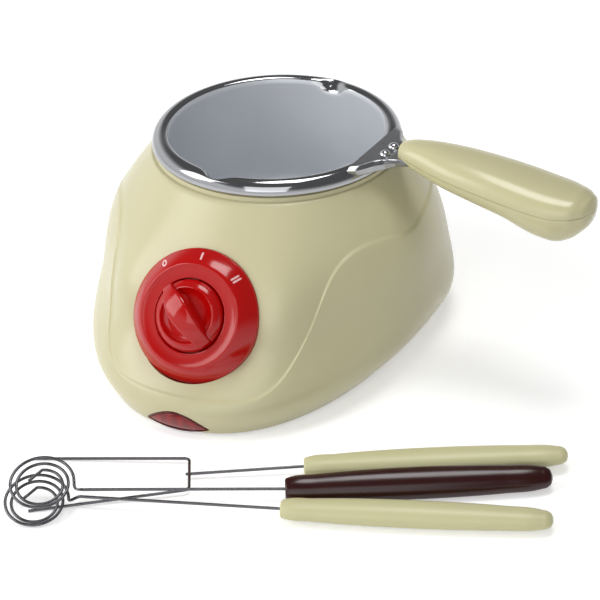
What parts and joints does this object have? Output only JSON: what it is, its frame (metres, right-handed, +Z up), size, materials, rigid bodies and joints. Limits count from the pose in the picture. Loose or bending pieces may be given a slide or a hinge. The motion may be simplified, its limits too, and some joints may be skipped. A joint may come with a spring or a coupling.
{
  "type": "electric chocolate melting pot",
  "caption": "Electric chocolate melting pot with a cream housing, red two-heat dial, lift-out steel pot with handle, and fork and spiral dipping tools.",
  "frame": {"origin": "on the table under the pot's axis", "axes": "+Z up, -Y toward the dial on the nose, +X toward the pot's handle, turned 6.5 degrees clockwise from above"},
  "size_m": [0.2708, 0.2938, 0.1122],
  "materials": {
    "cream_plastic": "semi-gloss moulded cream plastic",
    "red_plastic": "high-gloss deep red plastic",
    "red_lens": "clear red lens",
    "dark_red_plastic": "dark red frame of the lens",
    "polished_steel": "polished and drawn steel",
    "steel": "plain drawn steel",
    "heater_aluminium": "as cast",
    "well_paint": "cream enamel",
    "mica": "mica heater ring",
    "ceramic": "white ceramic and moulded insulator",
    "black_plastic": "black moulded plastic",
    "cover_plastic": "dark moulded cover",
    "rubber": "soft black rubber",
    "zinc_screw": "zinc plated",
    "neon": "glass neon bulb",
    "wire_sleeve": "sleeved copper lead",
    "brown_plastic": "gloss dark brown plastic",
    "tool_wire": "bright steel wire"
  },
  "bodies": {
    "housing": {"base_shell": "cream_plastic", "bottom_cover": "cover_plastic", "rubber_feet": "rubber", "cover_screws": "zinc_screw", "heater_well": "well_paint", "heating_plate": "heater_aluminium", "heater_ring": "mica", "heater_clamp": "steel", "clamp_screws": "zinc_screw", "thermostat": "ceramic", "thermal_fuse": "ceramic", "heat_shield": "steel", "shield_spacers": "zinc_screw", "rotary_switch": "black_plastic", "switch_nut": "zinc_screw", "dial_plate": "red_plastic", "lamp_lens": "red_lens", "lamp_bezel": "dark_red_plastic", "neon_lamp": "neon", "lamp_holder": "ceramic", "terminal_block": "ceramic", "cord_gland": "black_plastic", "wiring": "wire_sleeve"},
    "knob": {"switch_shaft": "steel", "knob": "red_plastic"},
    "pot": {"pot_bowl": "polished_steel", "handle_bracket": "polished_steel", "handle_tongue": "steel", "bracket_rivets": "polished_steel", "handle_upper": "cream_plastic", "handle_lower": "cream_plastic", "handle_screws": "zinc_screw"},
    "fork": {"fork_wire": "tool_wire", "fork_handle": "cream_plastic"},
    "cream_spiral": {"cream_spiral_wire": "tool_wire", "cream_spiral_handle": "cream_plastic"},
    "brown_spiral": {"brown_spiral_wire": "tool_wire", "brown_spiral_handle": "brown_plastic"}
  },
  "joints": [
    {"name": "knob_turn", "type": "hinge", "parent": "housing", "child": "knob", "pos_m": [0, -0.09738, 0.0499], "axis": [0, 0.8616, -0.5075], "range_deg": [0, 86]},
    {"name": "pot_lift", "type": "slide", "parent": "housing", "child": "pot", "axis": [0, 0, 1], "range_m": [0, 0.09]},
    {"name": "fork_lift", "type": "slide", "parent": "housing", "child": "fork", "axis": [0, 0, 1], "range_m": [0, 0.06]},
    {"name": "cream_lift", "type": "slide", "parent": "fork", "child": "cream_spiral", "axis": [0, 0, 1], "range_m": [0, 0.06]},
    {"name": "brown_lift", "type": "slide", "parent": "cream_spiral", "child": "brown_spiral", "axis": [0, 0, 1], "range_m": [0, 0.06]}
  ]
}
